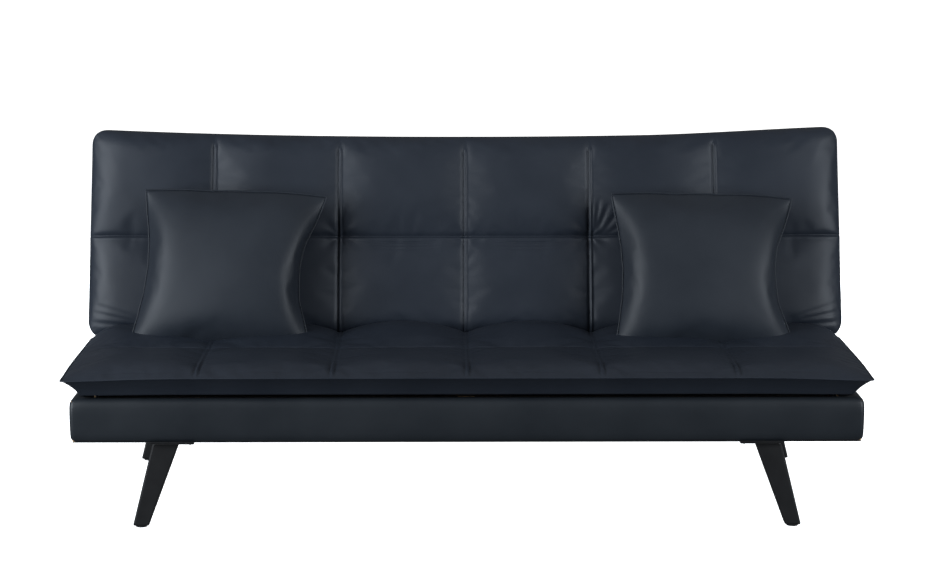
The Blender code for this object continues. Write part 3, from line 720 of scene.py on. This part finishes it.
# Base upholstery -------------------------------------------------------------------------------
def build_base_wrap():
    """The base's cover: one band round the rails, turned in over their top and under their bottom."""
    low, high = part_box("base_cover_front")[0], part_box("base_cover_rear")[1]
    half, near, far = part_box("base_cover_right")[1].x, low.y, high.y
    bottom, top_front = low.z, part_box("base_cover_front")[1].z
    slope = (top_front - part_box("base_cover_rear")[1].z) / (far - near)
    tall = top_front - bottom
    # Both lists go round the band's section: outset from the cover's face, then share of its height.
    outer = [(-0.030, 0.70), (-0.030, 0.975), (-0.027, 0.995), (-0.016, 1.004), (-0.008, 0.996),
             (-0.003, 0.965), (0.0005, 0.90), (0.0024, 0.80), (0.0034, 0.65), (0.0036, 0.50),
             (0.0034, 0.35), (0.0024, 0.20), (0.0005, 0.10), (-0.003, 0.03), (-0.008, -0.005),
             (-0.020, -0.008), (-0.034, -0.008)]
    inner = [(-0.034, 0.006), (-0.010, 0.010), (-0.0045, 0.06), (-0.0037, 0.5), (-0.0042, 0.94),
             (-0.012, 0.97), (-0.0262, 0.96), (-0.0266, 0.70)]
    profile = outer + inner
    bm = bmesh.new()
    bmesh.ops.create_grid(bm, x_segments=1, y_segments=1, size=0.5)
    bmesh.ops.delete(bm, geom=bm.faces[:], context="FACES_ONLY")
    for vertex in bm.verts:
        vertex.co = (vertex.co.x * 2 * half, (vertex.co.y + 0.5) * (far - near) + near, 0)
    bmesh.ops.bevel(bm, geom=bm.verts[:], offset=0.010, offset_type="OFFSET", affect="VERTICES", segments=5,
                    profile=0.5, material=-1)
    long_edges = [edge for edge in bm.edges if edge.calc_length() > 0.3]
    bmesh.ops.subdivide_edges(bm, edges=long_edges, cuts=90)
    first = bm.edges[:]
    border = first
    for ring in range(1, len(profile)):
        raised = bmesh.ops.extrude_edge_only(bm, edges=border)["geom"]
        for vertex in (item for item in raised if isinstance(item, bmesh.types.BMVert)):
            vertex.co.z = ring
        border = [item for item in raised if isinstance(item, bmesh.types.BMEdge)]
    bmesh.ops.bridge_loops(bm, edges=first + border)
    bmesh.ops.recalc_face_normals(bm, faces=bm.faces)
    mid_y, half_y = (near + far) / 2, (far - near) / 2
    for vertex in bm.verts:
        outset, height = profile[round(vertex.co.z)]
        x, y = vertex.co.x, vertex.co.y
        lift = bottom + height * (tall - slope * (y - near))
        if outset > -0.004:
            outset += noise.noise(Vector((x * 7, y * 7, height * 2))) * 0.0012
        x *= 1 + min(outset, 0.3 * outset) / half
        y = mid_y + (y - mid_y) * (1 + outset / half_y)
        vertex.co = (x, y, lift)
    wrap = add_piece("base_wrap", mesh_of("base_wrap", bm), "base", BASE_LEATHER)
    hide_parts("base_cover_front", "base_cover_rear", "base_cover_left", "base_cover_right")


# Linings and fixings ---------------------------------------------------------------------------
REAR_PANEL_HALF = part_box("back_rear_panel")[1].x
REAR_PANEL_V = (0.036, BACK_RUN - 0.045)      # up the back, from the hinge
REAR_PANEL_W = -0.0460                        # behind the seam plane
LINING_CELL = 0.012


def lining(name, node, low, high, slack, seed, body, place=None):
    """A thin stapled cloth in place of a CAD panel, a little slack between its edges."""
    size = high - low
    bm = bmesh.new()
    columns, rows = round(size.x / LINING_CELL), round(size.y / LINING_CELL)
    bmesh.ops.create_grid(bm, x_segments=columns, y_segments=rows, size=0.5)
    for vertex in bm.verts:
        u, v = vertex.co.x + 0.5, vertex.co.y + 0.5
        point = Vector(low)
        point.x += u * size.x
        point.y += v * size.y
        inside = math.sin(math.pi * u) ** 0.5 * math.sin(math.pi * v) ** 0.5
        ripple = noise.noise(Vector((point.x * 4, point.y * 9, seed)))
        pucker = 0.4 * noise.noise(Vector((point.x * 25, point.y * 25, seed)))
        point.z += slack * inside * (ripple + pucker)
        vertex.co = point
    faces = bm.faces[:]
    bmesh.ops.recalc_face_normals(bm, faces=faces)
    bmesh.ops.solidify(bm, geom=faces, thickness=0.0006)
    mesh = mesh_of(name, bm)
    if place is not None:
        mesh.transform(place)
    cloth = add_piece(name, mesh, body, LINING_CLOTH)
    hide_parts(node)


def build_linings():
    low = Vector((-REAR_PANEL_HALF, REAR_PANEL_V[0], REAR_PANEL_W))
    high = Vector((REAR_PANEL_HALF, REAR_PANEL_V[1], REAR_PANEL_W))
    lining("rear_lining", "back_rear_panel", low, high, 0.0012, 2.0, "back", BACK_PLACE)
    low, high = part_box("dust_cover")
    lining("dust_lining", "dust_cover", low, high, 0.0008, 6.0, "base")


def bevelled(bm, offset, segments):
    bmesh.ops.bevel(bm, geom=bm.edges[:], offset=offset, offset_type="OFFSET", affect="EDGES",
                    segments=segments, profile=0.5, material=-1)


STAPLE_INSET = 0.008
STAPLE_SIZE = Matrix.Diagonal((0.011, 0.0012, 0.0006, 1))


def build_staples():
    """A row of staples round the rear lining."""
    bm = bmesh.new()
    half = REAR_PANEL_HALF - STAPLE_INSET
    low, high = REAR_PANEL_V[0] + STAPLE_INSET, REAR_PANEL_V[1] - STAPLE_INSET
    places = [(x, y, 0) for x in np.linspace(-half, half, 36) for y in (low, high)]
    places += [(x, y, 90) for y in np.linspace(low, high, 10)[1:-1] for x in (-half, half)]
    for x, y, turn in places:
        spot = Matrix.Translation((x, y, REAR_PANEL_W - 0.0009))
        turned = Matrix.Rotation(math.radians(turn), 4, "Z")
        bmesh.ops.create_cube(bm, size=1.0, matrix=spot @ turned @ STAPLE_SIZE)
    bevelled(bm, 0.0002, 1)
    mesh = mesh_of("lining_staples", bm)
    mesh.transform(BACK_PLACE)
    add_piece("lining_staples", mesh, "back", FOLD_STEEL)


PLATE_SIZE = (0.098, 0.058, 0.0022)
PLATE_FROM_LEG = 0.092        # the leg's outer edge to the plate's middle
PLATE_SCREWS = [(x, y) for x in (-0.040, 0.040) for y in (-0.022, 0.022)]


def build_leg_plates():
    """Each leg hangs from a steel plate, screwed up into the base's rails."""
    plates, screws = bmesh.new(), bmesh.new()
    for end in ("front", "rear"):
        for side, outward in (("left", -1), ("right", 1)):
            low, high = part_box("leg_" + end + "_" + side)
            outer = low.x if side == "left" else high.x
            x, y = outer - outward * PLATE_FROM_LEG, (low.y + high.y) / 2
            spot = Matrix.Translation((x, y, high.z - 0.0010))
            bmesh.ops.create_cube(plates, size=1.0, matrix=spot @ Matrix.Diagonal((*PLATE_SIZE, 1)))
            for step_x, step_y in PLATE_SCREWS:
                head = Matrix.Translation((x + step_x, y + step_y, high.z - 0.0030))
                bmesh.ops.create_cone(screws, cap_ends=True, segments=12, radius1=0.0022, radius2=0.0038,
                                      depth=0.0020, matrix=head)
    bevelled(plates, 0.0007, 2)
    add_piece("leg_plates", mesh_of("leg_plates", plates), "base", LEG_PAINT, smooth=False)
    heads = mesh_of("leg_plate_screws", screws)
    add_piece("leg_plate_screws", heads, "base", FOLD_STEEL, smooth=False)


# Studio ----------------------------------------------------------------------------------------
def softbox(name, location, target, size, energy, mirrored=True):
    """A cool rectangular light aimed at its target, and seen in reflections only if mirrored."""
    data = bpy.data.lights.new(name, "AREA")
    data.shape = "RECTANGLE"
    data.size, data.size_y = size
    data.energy = energy
    data.color = (0.86, 0.93, 1.0)
    light = bpy.data.objects.new(name, data)
    bpy.context.scene.collection.objects.link(light)
    light.location = location
    light.rotation_euler = (Vector(target) - Vector(location)).to_track_quat("-Z", "Y").to_euler()
    light.visible_glossy = mirrored


def build_floor():
    """White paper where it is seen directly, and a darker floor to the light that falls on it."""
    bm = bmesh.new()
    bmesh.ops.create_grid(bm, x_segments=1, y_segments=1, size=40.0)
    floor = bpy.data.objects.new("floor", mesh_of("floor", bm))
    bpy.context.scene.collection.objects.link(floor)
    material, tree, shader, _ = new_material("floor_paper")
    seen = tree.nodes.new("ShaderNodeLightPath").outputs["Is Camera Ray"]
    tone = colour_between(tree, seen, (0.14, 0.14, 0.14), (0.95, 0.95, 0.95))
    wire(tree, tone, shader.inputs["Base Color"])
    wire(tree, math_node(tree, "MULTIPLY", seen, 0.9), shader.inputs["Emission Strength"])
    shader.inputs["Emission Color"].default_value = (1, 1, 1, 1)
    shader.inputs["Roughness"].default_value = 0.95
    shader.inputs["Specular IOR Level"].default_value = 0.1
    floor.data.materials.append(material)


def build_world():
    """White seen directly. Its light is full from behind and above, weaker from the front, and the
    room behind the sofa is darker in reflections."""
    world = bpy.data.worlds.new("studio")
    bpy.context.scene.world = world
    world.use_nodes = True
    tree = world.node_tree
    direction = tree.nodes.new("ShaderNodeSeparateXYZ")
    wire(tree, tree.nodes.new("ShaderNodeTexCoord").outputs["Generated"], direction.inputs[0])
    strength = spread(tree, direction.outputs["Y"], 0.26, 0.36, (-0.5, 0.5))
    mirrored = spread(tree, direction.outputs["Y"], 0.26, 0.09, (-0.3, 0.3))
    path = tree.nodes.new("ShaderNodeLightPath").outputs
    glossy = math_node(tree, "MULTIPLY", path["Is Glossy Ray"], mirrored)
    plain = math_node(tree, "MULTIPLY", math_node(tree, "SUBTRACT", 1.0, path["Is Glossy Ray"]), strength)
    light = math_node(tree, "ADD", glossy, plain)
    backdrop = math_node(tree, "MAXIMUM", light, path["Is Camera Ray"])
    wire(tree, backdrop, tree.nodes["Background"].inputs["Strength"])
    tree.nodes["Background"].inputs["Color"].default_value = (1, 1, 1, 1)


def build_studio():
    """The floor, the world, an overhead glow, two soft lights in front and two dim ones behind."""
    build_floor()
    build_world()
    sun = bpy.data.lights.new("overhead", "SUN")
    sun.energy = 0.35
    sun.angle = math.radians(100)
    overhead = bpy.data.objects.new("overhead", sun)
    bpy.context.scene.collection.objects.link(overhead)
    overhead.rotation_euler = (math.radians(-8), 0, 0)
    softbox("left_softbox", (-3.0, -1.9, 1.4), (-0.3, 0, 0.6), (2.2, 2.4), 190)
    softbox("right_softbox", (3.0, -2.1, 1.4), (0.3, 0, 0.6), (1.8, 2.2), 115)
    softbox("left_rear_softbox", (-2.4, 2.6, 0.5), (-0.3, 0.3, 0.45), (1.6, 0.8), 70, mirrored=False)
    softbox("right_rear_softbox", (2.4, 2.6, 0.5), (0.3, 0.3, 0.45), (1.6, 0.8), 100, mirrored=False)


def build_camera():
    """A long lens in front of the sofa, looking a little down."""
    data = bpy.data.cameras.new("camera")
    data.sensor_width = 36.0
    data.lens = 99.6
    camera = bpy.data.objects.new("camera", data)
    bpy.context.scene.collection.objects.link(camera)
    camera.location = (-0.047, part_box("seat_pad")[0].y - 5.544, 1.596)
    camera.rotation_euler = (math.radians(90 - 10.57), 0, math.radians(-0.43))
    bpy.context.scene.camera = camera


bpy.context.scene.view_settings.view_transform = "Standard"
build_camera()
build_studio()
finish_cad_nodes()
build_back_pad()
build_seat_pad()
build_pillow("left_pillow", middle=(-0.567, 0.157, 0.108), turn=math.radians(-1.2), lean=0.080)
build_pillow("right_pillow", middle=(0.560, 0.148, 0.118), turn=math.radians(-0.6), lean=-0.012)
build_base_wrap()
build_linings()
build_staples()
build_leg_plates()
